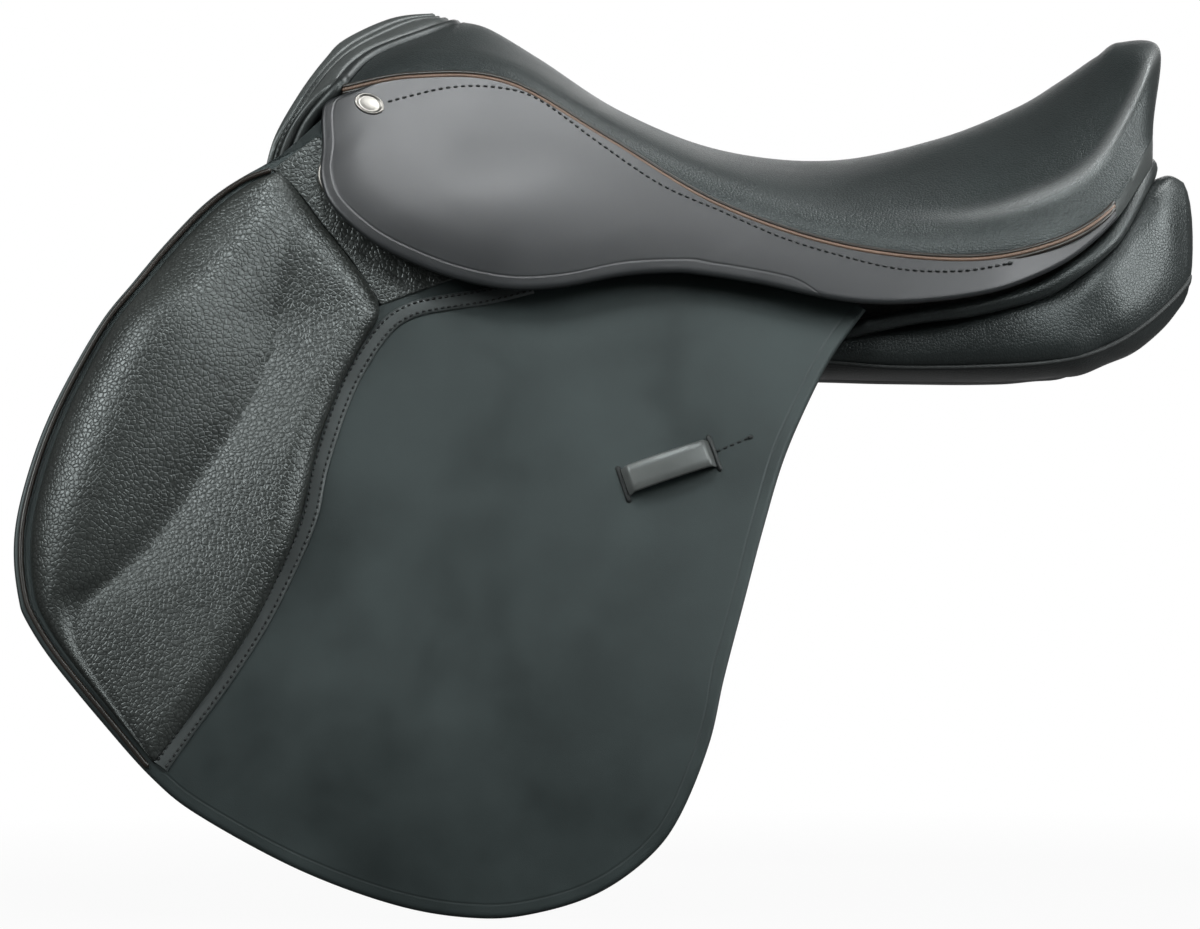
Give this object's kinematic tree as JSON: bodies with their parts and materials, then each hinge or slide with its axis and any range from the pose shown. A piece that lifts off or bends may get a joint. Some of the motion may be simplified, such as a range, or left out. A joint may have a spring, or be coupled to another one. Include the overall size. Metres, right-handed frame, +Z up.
{
  "type": "jumping saddle",
  "caption": "Black leather jumping saddle with forward flaps, padded knee rolls, liftable flaps and skirts, stirrup bars with hinged catches, girth straps and stuffed panels.",
  "frame": {"origin": "on the centre plane, at the level where the panels bear on the back, near the middle of the length", "axes": "+X to the rear (cantle), -X to the front (pommel), -Y the near (left) side seen in the picture, +Z up"},
  "size_m": [0.6245, 0.4322, 0.4831],
  "materials": {
    "seat_leather": "soft fine grain, satin",
    "flap_leather": "smooth, matte",
    "grain_leather": "pebbled grain, satin",
    "piping": "smooth tan",
    "steel": "bright",
    "wood": "lacquered laminated beech",
    "canvas": "woven web",
    "foam": "open foam"
  },
  "bodies": {
    "saddle": {"tree_head": "wood", "tree_frame": "wood", "head_plate": "steel", "seat_web": "canvas", "seat_foam": "foam", "seat_cover": "seat_leather", "welt_left": "piping", "welt_right": "piping", "pommel_roll": "seat_leather", "pommel_facing": "seat_leather", "cantle_facing": "seat_leather", "cantle_roll": "seat_leather", "panel_left": "grain_leather", "panel_right": "grain_leather", "sweat_flap_left": "flap_leather", "sweat_flap_right": "flap_leather", "flap_top_left": "flap_leather", "flap_top_right": "flap_leather", "knee_pad_top_left": "grain_leather", "knee_pad_top_right": "grain_leather", "skirt_left": "flap_leather", "skirt_right": "flap_leather", "badge_left": "steel", "badge_right": "steel", "stirrup_bar_left": "steel", "stirrup_bar_right": "steel", "catch_pin_left": "steel", "catch_pin_right": "steel", "girth_web_left": "canvas", "girth_web_right": "canvas", "strap_pins_left": "steel", "strap_pins_right": "steel"},
    "flap_left": {"flap_left": "flap_leather", "knee_pad_left": "grain_leather", "pad_strip_left": "flap_leather", "keeper_left": "flap_leather"},
    "skirt_lobe_left": {"skirt_lobe_left": "flap_leather"},
    "bar_catch_left": {"bar_catch_left": "steel"},
    "dee_left": {"dee_left": "steel", "dee_tab_left": "flap_leather"},
    "strap_front_left": {"strap_front_left": "flap_leather"},
    "strap_middle_left": {"strap_middle_left": "flap_leather"},
    "strap_rear_left": {"strap_rear_left": "flap_leather"},
    "buckle_guard_left": {"buckle_guard_left": "flap_leather"},
    "flap_right": {"flap_right": "flap_leather", "knee_pad_right": "grain_leather", "pad_strip_right": "flap_leather", "keeper_right": "flap_leather"},
    "skirt_lobe_right": {"skirt_lobe_right": "flap_leather"},
    "bar_catch_right": {"bar_catch_right": "steel"},
    "dee_right": {"dee_right": "steel", "dee_tab_right": "flap_leather"},
    "strap_front_right": {"strap_front_right": "flap_leather"},
    "strap_middle_right": {"strap_middle_right": "flap_leather"},
    "strap_rear_right": {"strap_rear_right": "flap_leather"},
    "buckle_guard_right": {"buckle_guard_right": "flap_leather"}
  },
  "joints": [
    {"name": "flap_lift_left", "type": "hinge", "parent": "saddle", "child": "flap_left", "pos_m": [-0.15, -0.15148, 0.04434], "axis": [-1, 0, 0], "range_deg": [0, 70]},
    {"name": "skirt_lift_left", "type": "hinge", "parent": "saddle", "child": "skirt_lobe_left", "pos_m": [-0.2375, -0.12299, 0.11308], "axis": [-0.9663, 0.0998, 0.2373], "range_deg": [0, 70]},
    {"name": "catch_turn_left", "type": "hinge", "parent": "saddle", "child": "bar_catch_left", "pos_m": [-0.09613, -0.1309, 0.07171], "axis": [0, -0.9659, 0.2588], "range_deg": [0, 55]},
    {"name": "dee_turn_left", "type": "hinge", "parent": "saddle", "child": "dee_left", "pos_m": [-0.196, -0.11499, 0.11138], "axis": [0, 0.9659, -0.2588], "range_deg": [-12, 3]},
    {"name": "strap_front_swing_left", "type": "hinge", "parent": "saddle", "child": "strap_front_left", "pos_m": [-0.15002, -0.12358, 0.02909], "axis": [0, -0.9659, 0.2588], "range_deg": [-5, 5]},
    {"name": "strap_middle_swing_left", "type": "hinge", "parent": "saddle", "child": "strap_middle_left", "pos_m": [-0.10502, -0.12358, 0.02909], "axis": [0, -0.9659, 0.2588], "range_deg": [-5, 5]},
    {"name": "strap_rear_swing_left", "type": "hinge", "parent": "saddle", "child": "strap_rear_left", "pos_m": [-0.06003, -0.12358, 0.02909], "axis": [0, -0.9659, 0.2588], "range_deg": [-5, 5]},
    {"name": "guard_slide_left", "type": "slide", "parent": "strap_middle_left", "child": "buckle_guard_left", "axis": [0, 0.2588, 0.9659], "range_m": [-0.055, 0.045]},
    {"name": "flap_lift_right", "type": "hinge", "parent": "saddle", "child": "flap_right", "pos_m": [-0.15, 0.15148, 0.04434], "axis": [1, 0, 0], "range_deg": [0, 70]},
    {"name": "skirt_lift_right", "type": "hinge", "parent": "saddle", "child": "skirt_lobe_right", "pos_m": [-0.2375, 0.12299, 0.11308], "axis": [0.9663, 0.0998, -0.2373], "range_deg": [0, 70]},
    {"name": "catch_turn_right", "type": "hinge", "parent": "saddle", "child": "bar_catch_right", "pos_m": [-0.09613, 0.1309, 0.07171], "axis": [0, -0.9659, -0.2588], "range_deg": [0, 55]},
    {"name": "dee_turn_right", "type": "hinge", "parent": "saddle", "child": "dee_right", "pos_m": [-0.196, 0.11499, 0.11138], "axis": [0, 0.9659, 0.2588], "range_deg": [-12, 3]},
    {"name": "strap_front_swing_right", "type": "hinge", "parent": "saddle", "child": "strap_front_right", "pos_m": [-0.15002, 0.12358, 0.02909], "axis": [0, -0.9659, -0.2588], "range_deg": [-5, 5]},
    {"name": "strap_middle_swing_right", "type": "hinge", "parent": "saddle", "child": "strap_middle_right", "pos_m": [-0.10502, 0.12358, 0.02909], "axis": [0, -0.9659, -0.2588], "range_deg": [-5, 5]},
    {"name": "strap_rear_swing_right", "type": "hinge", "parent": "saddle", "child": "strap_rear_right", "pos_m": [-0.06003, 0.12358, 0.02909], "axis": [0, -0.9659, -0.2588], "range_deg": [-5, 5]},
    {"name": "guard_slide_right", "type": "slide", "parent": "strap_middle_right", "child": "buckle_guard_right", "axis": [0, -0.2588, 0.9659], "range_m": [-0.055, 0.045]}
  ],
  "couplings": [
    {"joint": "strap_front_swing_left", "follows": "strap_middle_swing_left", "ratio": 1},
    {"joint": "strap_rear_swing_left", "follows": "strap_middle_swing_left", "ratio": 1},
    {"joint": "strap_front_swing_right", "follows": "strap_middle_swing_right", "ratio": 1},
    {"joint": "strap_rear_swing_right", "follows": "strap_middle_swing_right", "ratio": 1}
  ]
}
